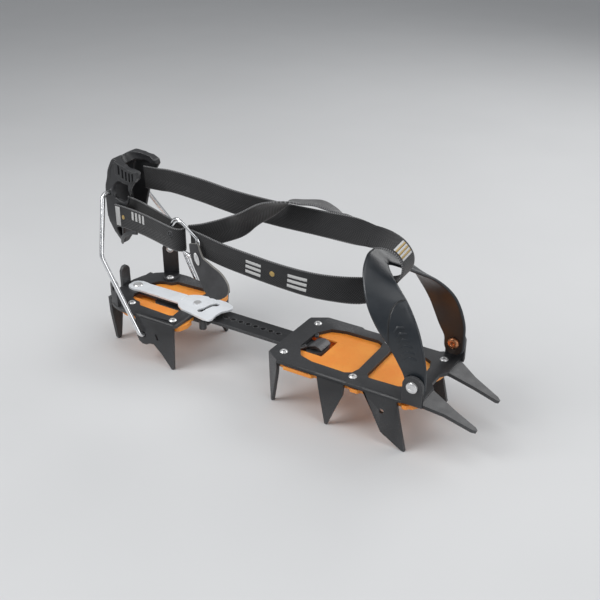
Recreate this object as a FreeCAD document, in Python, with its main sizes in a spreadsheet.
import FreeCAD, Part
import math
import os

import Sketcher

# Single semi-automatic crampon: forefoot frame, linking bar, heel frame with length
# adjuster, wire heel bail with its lever, flexible toe bail, webbing and ring buckle.
# Millimetres. +X points to the toe, +Y to the wearer's left, +Z up; the points stand on z = 0.

os.makedirs("parts", exist_ok=True)
doc = FreeCAD.newDocument("crampon")
dims = doc.addObject("Spreadsheet::Sheet", "Dims")

TABLE = [
    # shared sheet metal
    ("plate_top", 44.0), ("sheet", 3.0), ("shift_x", -112.0), ("shift_y", 0.0),
    # forefoot frame
    ("ff_rear", 113.0), ("ff_half", 40.0), ("ff_rear_half", 32.0), ("ff_valley", 245.0),
    ("ff_point_len", 45.0), ("ff_point_slope", 22.5), ("ff_point_y", 22.5),
    ("bail_x", 240.5), ("bail_z", 58.0), ("ear_half", 8.0),
    ("rivet_r", 1.9), ("rivet_head_r", 3.4), ("rivet_head_h", 1.1),
    # heel frame
    ("hf_front", 26.0), ("hf_half", 40.0), ("hf_rear", -61.0),
    ("hook_x", -9.0), ("hook_z", 26.0), ("hook_hole_r", 2.3),
    ("tab_width", 10.5), ("tab_rise", 19.0), ("post_width", 14.0), ("post_rise", 33.0),
    # anti-balling plates
    ("ab_depth", 4.8), ("ab_wall", 2.0),
    # linking bar
    ("bar_half", 10.5), ("bar_thick", 3.0), ("bar_top", 40.2), ("bar_rear", -22.0),
    ("hole_pitch", 7.5), ("pin_x", 19.0), ("bar_hole_r", 1.9), ("bar_rim_r", 2.9),
    # adjusting lever
    ("lever_sheet", 1.8), ("lever_pivot_x", -47.0), ("lever_arm_half", 7.2), ("crease_x", 3.5),
    # heel bail wire and heel lever
    ("wire_r", 2.0), ("wire_knee_x", -42.7), ("wire_knee_y", 45.5), ("wire_knee_z", 92.0),
    ("wire_top_x", -57.0), ("wire_top_z", 136.5), ("wire_top_half", 22.0),
    ("lever_half", 14.5), ("lever_wall", 3.0),
    # toe bail band
    ("band_thick", 3.0), ("band_gap", 0.4),
    # webbing and ring buckle
    ("web_width", 20.0), ("web_thick", 1.5), ("ring_wire", 2.4), ("ring_height", 24.4),
    ("ring_length", 27.0),
]
for row, (alias, value) in enumerate(TABLE, start=1):
    dims.set("A%d" % row, alias)
    dims.set("B%d" % row, "%g" % value)
    dims.setAlias("B%d" % row, alias)
doc.recompute()


class Size:
    """A length that carries both its value and the sheet expression it came from."""

    def __init__(self, value, text):
        self.value, self.text = float(value), text

    def _join(self, sign, other, value):
        other = size(other)
        return Size(value(self.value, other.value), "(%s %s %s)" % (self.text, sign, other.text))

    def __add__(self, other):
        return self._join("+", other, lambda a, b: a + b)

    def __sub__(self, other):
        return self._join("-", other, lambda a, b: a - b)

    def __mul__(self, other):
        return self._join("*", other, lambda a, b: a * b)

    def __truediv__(self, other):
        return self._join("/", other, lambda a, b: a / b)

    def __neg__(self):
        return Size(-self.value, "(0 - %s)" % self.text)

    __radd__ = __add__

    def __rmul__(self, other):
        return self * other


def size(value):
    return value if isinstance(value, Size) else Size(value, "(%g)" % value)


class Sheet:
    """Dims.alias as a Size."""

    def __getattr__(self, alias):
        return Size(dims.get(alias), "Dims." + alias)


D = Sheet()
TOP = D.plate_top
UNDER = D.plate_top - D.sheet
nodes = {}


def node(obj, name):
    """Register a finished sub-part under its node name and move it to the model origin."""
    obj.Label = name
    nodes[name] = obj
    return obj


def body(name):
    obj = doc.addObject("PartDesign::Body", "B_" + name)
    return node(obj, name)


def sketch(owner, role, loops, offset=0.0, turn=None, base=None):
    """Sketch on an origin plane of the body, offset along its normal, then turned in place.

    A loop is a list of (x, y) corners, or ("circle", x, y, radius).
    """
    sk = owner.newObject("Sketcher::SketchObject", "Sk")
    plane = [f for f in owner.Origin.OriginFeatures if f.Role == role][0]
    sk.AttachmentSupport = (plane, [""])
    sk.MapMode = "FlatFace"
    rotation = FreeCAD.Rotation() if turn is None else turn
    base = (size(0), size(0)) if base is None else (size(base[0]), size(base[1]))
    offset = size(offset)
    sk.AttachmentOffset = FreeCAD.Placement(
        FreeCAD.Vector(base[0].value, base[1].value, offset.value), rotation)
    for axis, value in zip("xyz", (base[0], base[1], offset)):
        sk.setExpression("AttachmentOffset.Base." + axis, value.text)
    for loop in loops:
        if loop[0] == "circle":
            cx, cy, r = (size(v) for v in loop[1:])
            g = sk.addGeometry(Part.Circle(FreeCAD.Vector(cx.value, cy.value, 0),
                                           FreeCAD.Vector(0, 0, 1), r.value), False)
            bind(sk, "DistanceX", (-1, 1, g, 3), cx)
            bind(sk, "DistanceY", (-1, 1, g, 3), cy)
            bind(sk, "Radius", (g,), r)
            continue
        pts = [(size(x), size(y)) for x, y in loop]
        first = sk.GeometryCount
        for i, (x, y) in enumerate(pts):
            x2, y2 = pts[(i + 1) % len(pts)]
            sk.addGeometry(Part.LineSegment(FreeCAD.Vector(x.value, y.value, 0),
                                            FreeCAD.Vector(x2.value, y2.value, 0)), False)
        for i, (x, y) in enumerate(pts):
            nxt = first + (i + 1) % len(pts)
            sk.addConstraint(Sketcher.Constraint("Coincident", first + i, 2, nxt, 1))
            bind(sk, "DistanceX", (-1, 1, first + i, 1), x)
            bind(sk, "DistanceY", (-1, 1, first + i, 1), y)
    return sk


def bind(sk, kind, where, value):
    index = sk.addConstraint(Sketcher.Constraint(kind, *where, value.value))
    sk.setExpression("Constraints[%d]" % index, value.text)


def pad(owner, role, loops, length, offset=0.0, turn=None, base=None, back=False, mid=False):
    """Pad a sketch; back=True goes against the plane's normal."""
    profile = sketch(owner, role, loops, offset, turn, base)
    f = owner.newObject("PartDesign::Pad", "Pad")
    f.Profile = profile
    f.Length = size(length).value
    f.setExpression("Length", size(length).text)
    f.Reversed = back
    f.Midplane = mid
    doc.recompute()
    return f


def pocket(owner, role, loops, length, offset=0.0, turn=None, base=None, back=False, mid=False):
    """Pocket a sketch and make sure that it removes material."""
    before = owner.Shape.Volume
    profile = sketch(owner, role, loops, offset, turn, base)
    f = owner.newObject("PartDesign::Pocket", "Pocket")
    f.Profile = profile
    f.Length = size(length).value
    f.setExpression("Length", size(length).text)
    f.Reversed = back
    f.Midplane = mid
    doc.recompute()
    if not owner.Shape.Volume < before - 0.5:
        raise RuntimeError("pocket in %s removed nothing" % owner.Label)
    return f


def soften(owner, radius, wanted):
    """Fillet the edges of the body's tip that wanted(edge) accepts."""
    names = ["Edge%d" % (i + 1) for i, e in enumerate(owner.Shape.Edges) if wanted(e)]
    if not names:
        raise RuntimeError("no edges to round in %s" % owner.Label)
    tip = owner.Tip
    f = owner.newObject("PartDesign::Fillet", "Fillet")
    f.Base = (tip, names)
    f.Radius = size(radius).value
    f.setExpression("Radius", size(radius).text)
    doc.recompute()
    if not f.isValid() or f.Shape.isNull() or not f.Shape.isValid():
        owner.removeObject(f)
        doc.removeObject(f.Name)
        owner.Tip = tip
        doc.recompute()
        return None
    return f


def upright(e, corners, tol=0.6):
    """True for a vertical edge that stands at one of the given (x, y) corners."""
    a, b = e.Vertexes[0].Point, e.Vertexes[-1].Point
    if (a - b).Length < 0.5 or abs(a.x - b.x) > 0.05 or abs(a.y - b.y) > 0.05:
        return False
    return any(abs(a.x - x) < tol and abs(a.y - y) < tol for x, y in corners)


def mirror_y(loop):
    return [(x, -size(y)) for x, y in loop]


def cylinder(name, r, length, at, axis=(0, 0, 1)):
    """Part::Cylinder with its base centre at `at`."""
    c = doc.addObject("Part::Cylinder", name)
    c.setExpression("Radius", size(r).text)
    c.setExpression("Height", size(length).text)
    c.Placement = FreeCAD.Placement(FreeCAD.Vector(*[size(v).value for v in at]),
                                    FreeCAD.Rotation(FreeCAD.Vector(0, 0, 1),
                                                     FreeCAD.Vector(*axis)))
    for k, v in zip("xyz", at):
        c.setExpression("Placement.Base." + k, size(v).text)
    return c


def feature(name, shape):
    """Part::Feature for a piece whose form only Part's own functions can give."""
    f = doc.addObject("Part::Feature", "F_" + name)
    f.Shape = shape
    return node(f, name)


def rounded_wire(points, radii):
    """Wire through the points, with a tangent arc of the given radius at each inner one."""
    points = [FreeCAD.Vector(*p) for p in points]
    edges, start = [], points[0]
    for before, corner, after, r in zip(points, points[1:], points[2:], radii):
        u = (before - corner).normalize()
        v = (after - corner).normalize()
        half = u.getAngle(v) / 2
        reach = r / math.tan(half)
        a, b = corner + u * reach, corner + v * reach
        bisector = (u + v).normalize()
        middle = corner + bisector * (r / math.sin(half) - r)
        edges += [Part.LineSegment(start, a).toShape(), Part.Arc(a, middle, b).toShape()]
        start = b
    edges.append(Part.LineSegment(start, points[-1]).toShape())
    return Part.Wire(edges)


def round_rod(points, radii, r):
    """Round wire of radius r swept along a rounded path."""
    spine = rounded_wire(points, radii)
    first = spine.Edges[0]
    start = first.Vertexes[0].Point
    ring = Part.Wire(Part.makeCircle(r, start, first.tangentAt(first.FirstParameter)))
    return spine.makePipeShell([ring], True, True)


def ribbon(stations, thick):
    """Flat band through stations of (centre, width direction, width), with flat facets."""
    centres = [FreeCAD.Vector(*s[0]) for s in stations]
    rings = []
    for i, (_, across, width) in enumerate(stations):
        ahead = centres[min(i + 1, len(centres) - 1)] - centres[max(i - 1, 0)]
        w = FreeCAD.Vector(*across)
        w = (w - ahead * (w.dot(ahead) / ahead.dot(ahead))).normalize()
        n = ahead.cross(w).normalize() * (thick / 2.0)
        w = w * (width / 2.0)
        c = centres[i]
        rings.append(Part.makePolygon([c + w + n, c - w + n, c - w - n, c + w - n, c + w + n]))
    return Part.makeLoft(rings, True, True)


# --- Forefoot frame -------------------------------------------------------------------
ff = body("front_frame")
X0, HALF, RH, XV = D.ff_rear, D.ff_half, D.ff_rear_half, D.ff_valley
outline = [(X0, -RH), (X0 + 13, -HALF), (XV - 1, -HALF), (XV + 1, -HALF + 2), (XV + 1, -13),
           (XV - 3, -7), (XV - 3, 7), (XV + 1, 13), (XV + 1, HALF - 2), (XV - 1, HALF),
           (X0 + 13, HALF), (X0, RH)]
window_1 = [(X0 + 17, -12), (X0 + 21, -18), (X0 + 25, -24), (X0 + 37, -27.5), (X0 + 66, -28),
            (X0 + 71, -25), (X0 + 73, -18), (X0 + 72.5, 18), (X0 + 71, 25), (X0 + 66, 28),
            (X0 + 37, 27.5), (X0 + 25, 24), (X0 + 21, 18), (X0 + 17, 12)]
window_2 = [(X0 + 82, -21), (X0 + 85, -25), (X0 + 109, -24), (X0 + 115, -21), (X0 + 118, -12),
            (X0 + 118.5, 0), (X0 + 118, 12), (X0 + 115, 21), (X0 + 109, 24), (X0 + 85, 25),
            (X0 + 82, 21)]
pad(ff, "XY_Plane", [outline, window_1, window_2], D.sheet, UNDER)
soften(ff, 4.0, lambda e: upright(e, [(113, -32), (113, 32), (126, -40), (126, 40)]))
soften(ff, 2.5, lambda e: upright(e, [(x + dx, y) for x in [113] for dx, y in [
    (17, -12), (17, 12), (25, -24), (25, 24), (66, -28), (66, 28), (73, -18), (72.5, 18),
    (85, -25), (85, 25), (118, -12), (118, 12)]]))

slope = FreeCAD.Rotation(FreeCAD.Vector(0, 1, 0), D.ff_point_slope.value)
PL, PY = D.ff_point_len, D.ff_point_y
for side in (-1, 1):
    # forward-facing front point, sloping down from the valley line
    point = [(0, side * 13.0), (6, side * 14.5), (24, PY * side - side * 4.5),
             (PL - 2, PY * side - side * 2.2), (PL, PY * side - side * 0.6),
             (PL, PY * side + side * 0.6), (PL - 3, PY * side + side * 2.6),
             (20, PY * side + side * 6.6), (5, side * 35.0), (0, side * 38.0)]
    pad(ff, "XY_Plane", [point], D.sheet, TOP, slope, (XV - 1, 0), back=True)
    # second and third side points, hanging from the side bends
    near = side < 0
    flange = HALF if near else -HALF
    second = [(X0 + 48, TOP), (X0 + 72, TOP), (X0 + 71, 31), (X0 + 64, 15), (X0 + 58, 0),
              (X0 + 56, 0), (X0 + 52, 20), (X0 + 50, 31)]
    third = [(X0 + 88, TOP), (X0 + 115, TOP), (X0 + 119, 24), (X0 + 124.5, 0),
             (X0 + 122, 0), (X0 + 104, 10.5), (X0 + 97, 24)]
    pad(ff, "XZ_Plane", [second], D.sheet, flange, back=near)
    pad(ff, "XZ_Plane", [third], D.sheet, flange, back=near)
    # upturned ear for the toe bail rivet
    ex, ez, er = D.bail_x, D.bail_z, D.ear_half
    ear = [(ex - er, TOP - D.sheet), (ex - er, ez + 2), (ex - er + 1.6, ez + 5.4),
           (ex - 3.4, ez + er - 0.6), (ex, ez + er), (ex + 3.4, ez + er - 0.6),
           (ex + er - 1.6, ez + 5.4), (ex + er, ez + 2), (ex + er, TOP - D.sheet)]
    pad(ff, "XZ_Plane", [ear], D.sheet, flange, back=near)
    # corner point on the diagonal between the rear edge and the side
    turn = FreeCAD.Rotation(FreeCAD.Vector(0, 1, 0), side * 31.6)
    corner = [(0, TOP), (15, TOP), (13, 30), (4.5, 0), (2.5, 0), (0.5, 30)]
    plane = sketch(ff, "XZ_Plane", [corner], RH if near else -RH, turn, (X0, 0))
    f = ff.newObject("PartDesign::Pad", "Pad")
    f.Profile = plane
    f.setExpression("Length", D.sheet.text)
    f.Reversed = near
    doc.recompute()
pocket(ff, "XZ_Plane", [["circle", X0 + 104, 29, 2.0]],
       HALF * 2 + 10, 0, mid=True)
pocket(ff, "XZ_Plane", [["circle", D.bail_x, D.bail_z, 2.55]], HALF * 2 + 10, 0, mid=True)
front_screws = [(X0 + 10.7, 26.4), (X0 + 74.4, 29.8), (X0 + 122.7, 28.8)]
pocket(ff, "XY_Plane", [["circle", x, y * s, D.rivet_r + 0.05]
                        for x, y in front_screws for s in (-1, 1)], 8, UNDER - 2, back=True)

# --- Forefoot anti-balling plate --------------------------------------------------------
fa = body("front_antiball_plate")
inset = 3.4
fa_outline = [(X0 + 3, -RH + 2.6), (X0 + 14, -HALF + inset), (XV - 5, -HALF + inset),
              (XV - 2, -RH), (XV - 4, -12), (XV - 8, 0), (XV - 4, 12), (XV - 2, RH),
              (XV - 5, HALF - inset), (X0 + 14, HALF - inset), (X0 + 3, RH - 2.6)]
pad(fa, "XY_Plane", [fa_outline], D.ab_depth, UNDER - D.ab_depth)
soften(fa, 2.0, lambda e: upright(e, [(116, -29.4), (116, 29.4), (127, -36.6), (127, 36.6)]))
# lobes that bulge out between the side points
for side in (-1, 1):
    for x_a, x_b in ((15, 46), (74, 86), (117, 126)):
        lobe = [(X0 + x_a, side * 35.0), (X0 + x_b, side * 35.0),
                (X0 + x_b - 3, side * 39.2), (X0 + x_a + 3, side * 39.2)]
        pad(fa, "XY_Plane", [lobe], D.ab_depth - 1.5, UNDER - D.ab_depth)
hollow = [(X0 + 8, -24), (X0 + 16, -33), (XV - 8, -33), (XV - 8, -14), (XV - 12, 0),
          (XV - 8, 14), (XV - 8, 33), (X0 + 16, 33), (X0 + 8, 24)]
pocket(fa, "XY_Plane", [hollow], D.ab_depth - D.ab_wall, UNDER - D.ab_depth, back=True)
# channel for the end of the linking bar, open to the rear
pocket(fa, "XY_Plane", [[(X0, -13), (X0 + 37, -13), (X0 + 37, 13), (X0, 13)]],
       D.ab_depth + 2, UNDER - D.ab_depth - 1, back=True)
pocket(fa, "XY_Plane", [["circle", x, y * s, D.rivet_r + 0.05]
                        for x, y in front_screws for s in (-1, 1)], D.ab_depth + 2,
       UNDER - D.ab_depth - 1, back=True)

# --- Linking bar ------------------------------------------------------------------------
bar = body("linking_bar")
BH, BT, BR = D.bar_half, D.bar_top, D.bar_rear
BX = X0 + 14
pad(bar, "XY_Plane", [[(BR, -BH + 3), (BR + 3, -BH), (BX, -BH), (BX, BH), (BR + 3, BH),
                       (BR, BH - 3)]], D.bar_thick, BT - D.bar_thick)
# hooked tongue: narrow neck, then a head that rises through the frame's rear window
pad(bar, "XY_Plane", [[(BX - 1, -7), (BX + 6, -7), (BX + 8, -11.5), (BX + 13, -11.5),
                       (BX + 19, -8), (BX + 20.5, 0), (BX + 19, 8), (BX + 13, 11.5),
                       (BX + 8, 11.5), (BX + 6, 7), (BX - 1, 7)]],
    D.bar_thick, BT - D.bar_thick)
pad(bar, "XZ_Plane", [[(BX + 5, BT - 1), (BX + 8, BT + 2.6), (BX + 14, BT + 4.4),
                       (BX + 18, BT + 3.2), (BX + 19.8, BT + 1.2), (BX + 16.5, BT + 1.1),
                       (BX + 13, BT + 1.6), (BX + 9, BT - 0.5)]], 15, 0, mid=True)
holes = [(D.pin_x + D.hole_pitch * k, 0) for k in range(-4, 12)]
pad(bar, "XY_Plane", [["circle", x, y, D.bar_rim_r] for x, y in holes], 0.35, BT)
pocket(bar, "XY_Plane", [["circle", x, y, D.bar_hole_r] for x, y in holes],
       D.bar_thick + 3, BT - D.bar_thick - 1, back=True)

# --- Heel frame ---------------------------------------------------------------------------
hf = body("heel_frame")
HX, HH, HR = D.hf_front, D.hf_half, D.hf_rear
half_rim = [(HR, 0), (HR + 0.8, -10), (HR + 3.3, -20), (HR + 9, -30), (HR + 17, -36.5),
            (HR + 25, -39.5), (HR + 34, -HH), (HX - 2, -HH), (HX, -HH + 2)]
rim = half_rim + [(x, -size(y)) for x, y in half_rim[:0:-1]]
half_window = [(-40, -6.5), (-41.5, -12), (-38, -18), (-33, -20.5), (-27, -21.5), (-23, -26),
               (10, -27.5), (13, -26), (11.5, -14), (9, -6.5)]
pad(hf, "XY_Plane", [rim, half_window, mirror_y(half_window)], D.sheet, UNDER)
for side in (-1, 1):
    near = side < 0
    flange = HH if near else -HH
    # side flange: bail hook lobe and the front heel point
    drop = [(-17, TOP), (23.5, TOP), (22.5, 30), (21, 0), (19, 0), (9, 12), (1, 19),
            (-3, 18.5), (-7, 16.5), (-11, 16.2), (-14.5, 18), (-16.5, 22), (-17, 30)]
    pad(hf, "XZ_Plane", [drop], D.sheet, flange, back=near)
    # rear point under the rounded heel
    rear = [(side * 13.5, TOP), (side * 28.5, TOP), (side * 28, 29), (side * 24, 1.2),
            (side * 22.5, 0), (side * 20.5, 0), (side * 19, 1.2), (side * 14, 29)]
    pad(hf, "YZ_Plane", [rear], D.sheet, HR + 4)
# upturned heel stop at the back, and the lug at the near rear corner
TW, TR, TY = D.tab_width / 2, D.tab_rise, size(-2.5)
pad(hf, "YZ_Plane", [[(TY - TW, UNDER), (TY - TW, TOP + TR - 4), (TY - TW + 1.6, TOP + TR - 1.4),
                      (TY - 1.8, TOP + TR), (TY + 1.8, TOP + TR),
                      (TY + TW - 1.6, TOP + TR - 1.4), (TY + TW, TOP + TR - 4),
                      (TY + TW, UNDER)]], D.sheet, HR + 0.3)
lug_turn = FreeCAD.Rotation(FreeCAD.Vector(0, 1, 0), -23.5)
lug = [(0, UNDER), (12.5, UNDER), (12.5, TOP + 17), (11, TOP + 20.5), (8.2, TOP + 22.4),
       (4.3, TOP + 22.4), (1.5, TOP + 20.5), (0, TOP + 17)]

plane = sketch(hf, "XZ_Plane", [lug, ["circle", 6.2, TOP + 15, 2.2]], 34.2, lug_turn, (-47.6, 0))
f = hf.newObject("PartDesign::Pad", "Pad")
f.Profile = plane
f.setExpression("Length", D.sheet.text)
f.Reversed = True
doc.recompute()
pocket(hf, "XZ_Plane", [["circle", D.hook_x, D.hook_z, D.hook_hole_r],
                        [(3.2, 29.4), (5.2, 29.8), (7, 24.4), (5, 24)]], HH * 2 + 10, 0, mid=True)
heel_screws = [(-31.8, 26.3), (17.9, 32.6)]
pocket(hf, "XY_Plane", [["circle", x, y * s, D.rivet_r + 0.05]
                        for x, y in heel_screws for s in (-1, 1)]
       + [["circle", D.lever_pivot_x, 0, 3.05], ["circle", D.pin_x, 0, 3.3]],
       8, UNDER - 2, back=True)

# --- Heel anti-balling plate ----------------------------------------------------------------
ha = body("heel_antiball_plate")
ha_half = [(HR + 9, 0), (HR + 9.5, -12), (HR + 14, -24), (HR + 22, -33), (HR + 30, -36.4),
           (HX - 3, -36.4), (HX + 0.5, -34), (HX + 2.6, -27), (HX + 1.5, -20), (HX - 2, -16)]
pad(ha, "XY_Plane", [ha_half + [(x, -size(y)) for x, y in ha_half[:0:-1]]], D.ab_depth,
    UNDER - D.ab_depth)
ha_hollow = [(HR + 14, -10), (HR + 18, -22), (HR + 26, -31), (HX - 6, -32), (HX - 5, -18),
             (HX - 5, 18), (HX - 6, 32), (HR + 26, 31), (HR + 18, 22), (HR + 14, 10)]
pocket(ha, "XY_Plane", [ha_hollow], D.ab_depth - D.ab_wall, UNDER - D.ab_depth, back=True)
pocket(ha, "XY_Plane", [[(HR + 7, -12.4), (HX + 5, -12.4), (HX + 5, 12.4), (HR + 7, 12.4)]],
       D.ab_depth + 2, UNDER - D.ab_depth - 1, back=True)
pocket(ha, "XY_Plane", [["circle", x, y * s, D.rivet_r + 0.05]
                        for x, y in heel_screws for s in (-1, 1)], D.ab_depth + 2,
       UNDER - D.ab_depth - 1, back=True)
# channel liner that carries the plate past the bar, open on top
floor = [(HR + 9, -12.4), (HX - 6.5, -12.4), (HX - 6.5, 12.4), (HR + 9, 12.4)]
trough = body("heel_antiball_trough")
pad(trough, "XY_Plane", [floor], 1.2, UNDER - D.ab_depth - 0.6)

# --- Bar guide under the front of the heel frame ----------------------------------------
guide = body("bar_guide")
GX = D.pin_x + 8.6
pad(guide, "YZ_Plane", [[(-12.3, UNDER), (-12.3, 36.0), (-10.9, 34.2), (10.9, 34.2),
                         (12.3, 36.0), (12.3, UNDER), (11.1, UNDER), (11.1, 36.6),
                         (-11.1, 36.6), (-11.1, UNDER)]], 17.6, GX - 7.6)
pad(guide, "XY_Plane", [[(GX, -12.3), (GX + 10, -12.3), (GX + 10, 12.3), (GX, 12.3)]],
    1.6, UNDER)
pad(guide, "XY_Plane", [["circle", GX + 7.5, -14.4, 3.2]], 8.5, 32.5)

# --- Length adjuster ----------------------------------------------------------------------
AT, AS, PX = TOP, D.lever_sheet, D.lever_pivot_x
AH, CX = D.lever_arm_half, D.crease_x
arm = body("adjust_lever_arm")
pad(arm, "XY_Plane", [[(PX - 7.8, -3.4), (PX - 5.4, -6.6), (PX - 1, -8.2), (PX + 4, -8),
                       (PX + 8, -AH), (CX - 0.15, -AH - 0.6), (CX - 0.15, AH + 0.6),
                       (PX + 8, AH), (PX + 4, 8), (PX - 1, 8.2), (PX - 5.4, 6.6),
                       (PX - 7.8, 3.4)]], AS, AT)
pocket(arm, "XY_Plane", [["circle", PX, 0, 3.05]], 6, AT - 2, back=True)
head = body("adjust_lever_head")
head_outline = [(CX + 0.15, -AH - 0.6), (CX + 4, -12), (CX + 10, -15.5), (CX + 20, -17),
                (CX + 36, -20), (CX + 41.5, -19.2), (CX + 43, -16), (CX + 41.5, -9),
                (CX + 42.5, -2), (CX + 46, 3.4), (CX + 47, 7.6), (CX + 44.5, 11.5),
                (CX + 36, 14.6), (CX + 20, 15), (CX + 9, 13.2), (CX + 3.5, 10.6),
                (CX + 0.15, AH + 0.6)]
bow_tie = [(CX + 23, -11), (CX + 25.5, -12), (CX + 28, -10.5), (CX + 28.5, -4), (CX + 30, 2),
           (CX + 34, 5), (CX + 33.5, 8), (CX + 29.5, 8.4), (CX + 26.5, 3), (CX + 25.4, -4),
           (CX + 23.2, -8)]
pad(head, "XY_Plane", [head_outline, bow_tie], AS, AT + 0.05)
pocket(head, "XY_Plane", [["circle", D.pin_x, 0, 2.25]], 6, AT - 2, back=True)

# locking pin riveted into the lever head; it stops just above the bar's row of holes
shank = cylinder("pin_shank", 2.2, 5.7, (D.pin_x, 0, BT + 0.7))
cap = cylinder("pin_cap", 3.3, 0.9, (D.pin_x, 0, AT + AS + 0.05))
pin = doc.addObject("Part::Fuse", "pin")
pin.Base, pin.Tool = shank, cap
node(pin, "locking_pin")

# --- Screws and rivets ------------------------------------------------------------------
def rivet(name, x, y, seat, length, r=D.rivet_r, head_r=D.rivet_head_r, drive=True):
    """Countersunk-look domed head with a cross recess on a plain shank."""
    stem = cylinder(name + "_stem", r, length, (x, y, seat - length))
    h = D.rivet_head_h
    dome = doc.addObject("Part::Cone", name + "_dome")
    dome.setExpression("Radius1", size(head_r).text)
    dome.setExpression("Radius2", (size(head_r) - 1.1).text)
    dome.setExpression("Height", h.text)
    for k, v in zip("xyz", (x, y, seat)):
        dome.setExpression("Placement.Base." + k, size(v).text)
    both = doc.addObject("Part::Fuse", name + "_body")
    both.Base, both.Tool = stem, dome
    if not drive:
        return both
    cuts = []
    for k, (lx, ly) in enumerate(((2.9, 0.7), (0.7, 2.9))):
        slot = doc.addObject("Part::Box", "%s_slot%d" % (name, k))
        slot.Length, slot.Width, slot.Height = lx, ly, 2.0
        for axis, v in zip("xyz", (size(x) - lx / 2, size(y) - ly / 2, size(seat) + h - 0.7)):
            slot.setExpression("Placement.Base." + axis, v.text)
        cuts.append(slot)
    cross = doc.addObject("Part::Fuse", name + "_cross")
    cross.Base, cross.Tool = cuts
    cut = doc.addObject("Part::Cut", name)
    cut.Base, cut.Tool = both, cross
    return cut


def group(name, parts):
    """Several identical loose pieces kept as separate solids of one node."""
    g = doc.addObject("Part::Compound", name)
    g.Links = parts
    return node(g, name)


group("front_frame_screws", [rivet("fs%d_%d" % (i, s + 1), x, y * s, TOP, 8.4)
                             for i, (x, y) in enumerate(front_screws) for s in (-1, 1)])
group("heel_frame_screws", [rivet("hs%d_%d" % (i, s + 1), x, y * s,
                                  TOP + (2.0 if i == 0 and s > 0 else 0),
                                  8.4 + (2.0 if i == 0 and s > 0 else 0))
                            for i, (x, y) in enumerate(heel_screws) for s in (-1, 1)])
lever_rivet = rivet("lr", PX, 0, AT + AS, AS + D.sheet, size(3.0), size(4.6), drive=False)
node(lever_rivet, "adjust_lever_rivet")

# --- Heel post on the far side ------------------------------------------------------------
post = body("heel_post")
PW, PR = D.post_width / 2, D.post_rise
lie = FreeCAD.Rotation(FreeCAD.Vector(0, 0, 1), 31.6)
pad(post, "XY_Plane", [[(-PW, 0), (PW, 0), (PW, -8), (PW - 1.6, -13), (PW - 4.4, -15.6),
                        (-PW + 4.4, -15.6), (-PW + 1.6, -13), (-PW, -8)]], 2, TOP, lie,
    (-38.0, 36.5))
stand = FreeCAD.Rotation(FreeCAD.Vector(0, 1, 0), 31.6)
upright_loop = [(-PW, TOP), (PW, TOP), (PW, TOP + PR - 6.5), (PW - 1.3, TOP + PR - 3.2),
                (PW - 3.8, TOP + PR - 0.6), (1.4, TOP + PR), (-1.4, TOP + PR),
                (-PW + 3.8, TOP + PR - 0.6), (-PW + 1.3, TOP + PR - 3.2),
                (-PW, TOP + PR - 6.5)]
plane = sketch(post, "XZ_Plane", [upright_loop, ["circle", 0, TOP + PR - 7.5, 2.3]], -36.5,
               stand, (-38.0, 0))
f = post.newObject("PartDesign::Pad", "Pad")
f.Profile = plane
f.Length = 2.0
f.Reversed = False
doc.recompute()
pocket(post, "XY_Plane", [["circle", -31.8, 26.3, D.rivet_r + 0.05]], 6, TOP - 2, back=True)

# --- Heel bail wire -------------------------------------------------------------------------
hx, hz = D.hook_x.value, D.hook_z.value
ky, kz = D.wire_knee_y.value, D.wire_knee_z.value
kx, tx, tz = D.wire_knee_x.value, D.wire_top_x.value, D.wire_top_z.value
ty, wr = D.wire_top_half.value, D.wire_r.value
half_path = [(hx, -34.6, hz), (hx, -43.6, hz), (kx, -ky, kz), (tx, -ty, tz)]
path = half_path + [(x, -y, z) for x, y, z in reversed(half_path)]
feature("heel_bail_wire", round_rod(path, [4.0, 14.0, 7.0, 7.0, 14.0, 4.0], wr))

# --- Heel lever -----------------------------------------------------------------------------
LH, LW = D.lever_half, D.lever_wall
TX, TZ = D.wire_top_x, D.wire_top_z
lever = body("heel_lever")
side_view = [(TX - 4.6, TZ - 4), (TX - 3.6, TZ + 6), (TX + 1, TZ + 17), (TX + 9, TZ + 25.5),
             (TX + 19, TZ + 30), (TX + 28, TZ + 30), (TX + 33.5, TZ + 27.5),
             (TX + 34.5, TZ + 23.6), (TX + 28.5, TZ + 15), (TX + 24, TZ + 6.5),
             (TX + 21, TZ - 2.5), (TX + 18.5, TZ - 10), (TX + 15, TZ - 22),
             (TX + 8, TZ - 38), (TX + 2, TZ - 50), (TX - 0.5, TZ - 51.5),
             (TX - 2.2, TZ - 49), (TX - 3.4, TZ - 34), (TX - 4.6, TZ - 18)]
pad(lever, "XZ_Plane", [side_view], LH * 2, 0, mid=True)
for side in (-1, 1):
    taper = [(side * 15.5, TZ - 17), (side * (13.6), TZ - 27), (side * 9.5, TZ - 38),
             (side * 4.0, TZ - 48), (side * 2.0, TZ - 53), (side * 16.5, TZ - 53),
             (side * 16.5, TZ - 17)]
    pocket(lever, "YZ_Plane", [taper], 60, TX - 12, back=True)
cavity = [(TX + 2.4, TZ - 5), (TX + 3.4, TZ + 5), (TX + 8, TZ + 14), (TX + 15, TZ + 22),
          (TX + 22, TZ + 24.5), (TX + 28, TZ + 24), (TX + 45, TZ + 23.6), (TX + 45, TZ - 30),
          (TX + 4.5, TZ - 30)]
pocket(lever, "XZ_Plane", [cavity], (LH - LW) * 2, 0, mid=True)
pocket(lever, "XZ_Plane", [["circle", TX, TZ, D.wire_r + 0.06]], LH * 2 + 6, 0, mid=True)
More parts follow.
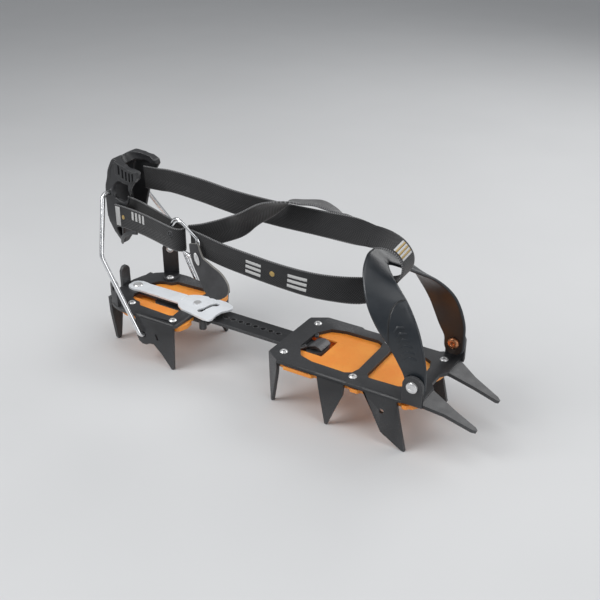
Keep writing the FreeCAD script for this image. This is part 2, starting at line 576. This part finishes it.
# side recesses and the slots for the webbing in the side walls
pocket(lever, "XZ_Plane", [[(TX + 6, TZ - 4), (TX + 18, TZ - 3), (TX + 20.5, TZ + 4),
                            (TX + 22, TZ + 11), (TX + 9, TZ + 9)]], 6, LH)
pocket(lever, "XZ_Plane", [[(TX + 2, TZ - 33), (TX + 8.5, TZ - 29.5), (TX + 4, TZ - 41.5),
                            (TX + 2, TZ - 43)]], LH * 2 + 6, 0, mid=True)

grip = body("heel_lever_grip")
pad(grip, "XZ_Plane", [[(TX + 13, TZ + 16), (TX + 30.5, TZ + 19.5), (TX + 33, TZ + 23.8),
                        (TX + 31.5, TZ + 27.6), (TX + 20, TZ + 28.6), (TX + 13.5, TZ + 25.5)]], 3,
    LH)
for k in range(5):
    gx = TX + 16.0 + 3.0 * k
    pocket(grip, "XZ_Plane", [[(gx, TZ + 18.6), (gx + 1.4, TZ + 18.9), (gx + 1.6, TZ + 26.4),
                               (gx + 0.2, TZ + 26)]], 1.6, LH + 3)
plate = body("heel_lever_label")
pad(plate, "XZ_Plane", [[(TX + 1.5, TZ - 11.5), (TX + 9, TZ - 14), (TX + 9.5, TZ - 22),
                         (TX + 2, TZ - 19.5)]], 0.8, LH)

# --- Toe bail -----------------------------------------------------------------------------
ex, ez = D.bail_x.value, D.bail_z.value
inner = D.ff_half.value - D.sheet.value - D.band_gap.value - D.band_thick.value / 2
half_band = [
    ((ex, -inner, ez - 10.0), (1, 0, 0), 9.0), ((ex, -inner, ez - 8.2), (1, 0, 0), 13.5),
    ((ex, -inner, ez - 4.0), (1, 0, 0), 16.6), ((ex - 0.4, -inner, ez + 5.0), (1, 0, 0.02), 17.6),
    ((ex - 3.5, -inner, ez + 16.0), (1, 0, 0.1), 22.0),
    ((ex - 11.5, -34.6, ez + 33.5), (0.95, 0.18, 0.15), 26.0),
    ((ex - 22.5, -31.4, ez + 47.5), (0.9, 0.38, 0.1), 28.0),
    ((ex - 33.0, -25.5, ez + 58.0), (0.86, 0.45, -0.1), 27.0),
    ((ex - 43.0, -15.8, ez + 67.5), (0.86, 0.35, -0.34), 23.0),
    ((ex - 48.5, -6.5, ez + 72.4), (0.86, 0.12, -0.45), 18.5),
    ((ex - 50.0, 0.0, ez + 73.2), (0.87, 0, -0.5), 17.0)]
band = half_band + [((x, -y, z), (a, -b, c), w)
                    for (x, y, z), (a, b, c), w in reversed(half_band[:-1])]
strip = ribbon(band, D.band_thick.value)
bore = Part.makeCylinder(2.56, 120, FreeCAD.Vector(ex, -60, ez), FreeCAD.Vector(0, 1, 0))
feature("toe_bail", strip.cut(bore))


def side_rivet(name, side):
    """Rivet through an ear and the band, with a head on each face."""
    outer = HALF if side > 0 else -HALF
    start = outer if side < 0 else HALF - D.sheet - D.band_gap - D.band_thick - 0.3
    length = D.sheet + D.band_gap + D.band_thick + 0.3
    stem = cylinder(name + "_stem", 2.5, length, (D.bail_x, start, D.bail_z), (0, 1, 0))
    outside = cylinder(name + "_out", 4.4, 1.2,
                       (D.bail_x, outer if side > 0 else outer - 1.2, D.bail_z), (0, 1, 0))
    inside = cylinder(name + "_in", 4.6, 1.4,
                      (D.bail_x, start - 1.4 if side > 0 else start + length, D.bail_z),
                      (0, 1, 0))
    one = doc.addObject("Part::MultiFuse", name)
    one.Shapes = [stem, outside, inside]
    return one


node(side_rivet("toe_rivet_r", -1), "toe_rivet_right")
node(side_rivet("toe_rivet_l", 1), "toe_rivet_left")

# --- Ring buckle ----------------------------------------------------------------------------
RX, RY, RZ = 14.5, -23.2, 124.5


def ring(name, shift_x, shift_y, lean):
    """Flat rounded-rectangle wire ring standing on edge."""
    h, l, w = D.ring_height.value / 2, D.ring_length.value, D.ring_wire.value
    corners = [(0, 0, -h), (0, 0, h), (l, 0, h - 3), (l, 0, -h + 3)]
    mids = [(0, 0, 0)] + corners[1:] + [corners[0], (0, 0, 0)]
    spine = rounded_wire(mids, [5.0, 5.0, 5.0, 5.0])
    start = spine.Edges[0]
    side = Part.makePolygon([FreeCAD.Vector(x, y, 0) for x, y in
                             ((-w / 2, -w / 2), (w / 2, -w / 2), (w / 2, w / 2), (-w / 2, w / 2),
                              (-w / 2, -w / 2))])
    side.translate(start.Vertexes[0].Point)
    loop = spine.makePipeShell([side], True, False)
    loop.rotate(FreeCAD.Vector(0, 0, 0), FreeCAD.Vector(0, 1, 0), lean)
    loop.translate(FreeCAD.Vector(RX + shift_x, RY + shift_y, RZ))
    return feature(name, loop)


ring("buckle_ring_inner", 0.0, 0.0, 30.0)
ring("buckle_ring_outer", 4.0, -2.7, 30.0)

# leather-like tab folded over the bottom of the rings
pad_stations = [
    ((42.5, -29.4, 118.5), (0.85, 0, 0.3), 9.0), ((44.0, -29.8, 112.0), (0.85, 0, 0.3), 10.5),
    ((47.5, -30.6, 104.5), (0.85, 0, 0.45), 13.0), ((54.5, -31.8, 98.0), (0.8, 0, 0.6), 19.0),
    ((61.5, -33.0, 92.0), (0.8, 0, 0.6), 25.0), ((69.0, -34.2, 86.5), (0.8, 0, 0.6), 24.0),
    ((73.0, -34.8, 81.5), (0.8, 0, 0.6), 12.0)]
feature("buckle_pad", ribbon(pad_stations, 2.2))
node(cylinder("pad_rivet_head", 3.0, 1.2, (47.6, -33.3, 105.6), (0, 1, 0)),
     "buckle_pad_rivet")

# --- Webbing --------------------------------------------------------------------------------
WW, WT = D.web_width.value, D.web_thick.value
feature("strap_short", ribbon([
    ((-56.0, -16.2, 118.0), (0, 0, 1), WW), ((-40.0, -16.2, 118.0), (0, 0, 1), WW),
    ((-20.0, -16.8, 117.6), (0, 0, 1), WW), ((0.0, -18.6, 117.2), (0, 0, 1), WW),
    ((22.0, -20.4, 116.6), (0, 0, 1), WW)], WT))
feature("strap_upper", ribbon([
    ((-22.0, 9.5, 147.0), (0, 0, 1), WW), ((-6.0, 8.5, 148.4), (0, 0, 1), WW),
    ((26.0, 6.0, 147.8), (0, 0.05, 1), WW), ((62.0, 2.5, 146.2), (0, 0.06, 1), WW),
    ((102.0, 0.5, 146.2), (0, 0.1, 1), WW), ((140.0, -1.0, 147.6), (0, 0.15, 1), WW),
    ((166.0, -1.8, 148.5), (0, 0.4, 1), WW), ((184.0, -2.6, 148.0), (0, 0.9, 0.8), WW * 0.9)],
    WT))
feature("strap_toe_loop", ribbon([
    ((186.5, -2.6, 147.8), (0, 1, 0.7), WW * 0.9), ((198.0, -2.4, 147.4), (0, 1, 0.3), WW),
    ((207.5, -2.0, 144.0), (0, 1, 0.1), WW), ((213.5, -1.2, 136.0), (0, 1, 0), WW),
    ((213.0, -0.8, 126.0), (0, 1, 0), WW * 0.95), ((206.0, -1.0, 117.0), (0, 1, 0.2), WW * 0.9),
    ((196.5, -4.4, 111.0), (0, 0.8, 0.6), WW * 0.9)], WT))
feature("strap_lower", ribbon([
    ((194.2, -6.2, 110.0), (0, 0.7, 0.7), WW * 0.9), ((182.0, -13.0, 107.6), (0, 0.5, 0.9), WW),
    ((166.0, -20.0, 107.6), (0, 0.25, 1), WW), ((146.0, -25.0, 108.2), (0, 0.1, 1), WW),
    ((120.0, -27.5, 110.0), (0, 0, 1), WW), ((92.0, -27.5, 112.0), (0, 0, 1), WW),
    ((68.0, -26.0, 113.4), (0, 0, 1), WW), ((47.5, -23.2, 115.0), (0, 0, 1), WW)], WT))
feature("strap_tail", ribbon([
    ((47.5, -11.5, 121.8), (0, 0, 1), WW), ((60.5, -8.8, 127.2), (0, -0.1, 1), WW),
    ((70.5, -8.6, 132.6), (0, -0.25, 1), WW), ((80.0, -9.0, 139.7), (0, -0.53, 0.85), WW),
    ((92.5, -9.2, 148.5), (0, -0.63, 0.78), WW), ((104.5, -10.8, 156.6), (0, -0.76, 0.64), WW),
    ((115.5, -9.0, 161.6), (0, -0.95, 0.3), WW), ((125.0, -1.0, 161.0), (0, -0.98, 0.2), WW),
    ((136.0, 6.0, 160.2), (0, -0.98, 0.2), WW), ((148.0, 11.0, 159.0), (0, -0.985, 0.17), WW),
    ((157.5, 16.0, 156.0), (0, -1, 0.1), WW)], WT))
node(cylinder("strap_stud_body", 2.6, 1.4, (4.0, -21.35, 117.0), (0, 1, 0)), "strap_stud")

# --- Check everything and write the files -----------------------------------------------------
for obj in nodes.values():
    obj.setExpression("Placement.Base.x", None)
for name, obj in nodes.items():
    kept = obj.Placement
    obj.Placement = FreeCAD.Placement(
        kept.Base + FreeCAD.Vector(D.shift_x.value, D.shift_y.value, 0), kept.Rotation)
doc.recompute()
for obj in doc.Objects:
    if "Invalid" in obj.State or "Error" in obj.State:
        raise RuntimeError("%s failed: %s" % (obj.Label, obj.State))
for name, obj in nodes.items():
    shape = obj.Shape
    if shape.isNull() or not shape.isValid() or shape.Volume <= 0:
        raise RuntimeError("%s has no valid shape" % name)
    shape.exportStep("parts/%s.step" % name)
    print("%-24s %9.1f mm3  %d solid(s)" % (name, shape.Volume, len(shape.Solids)))
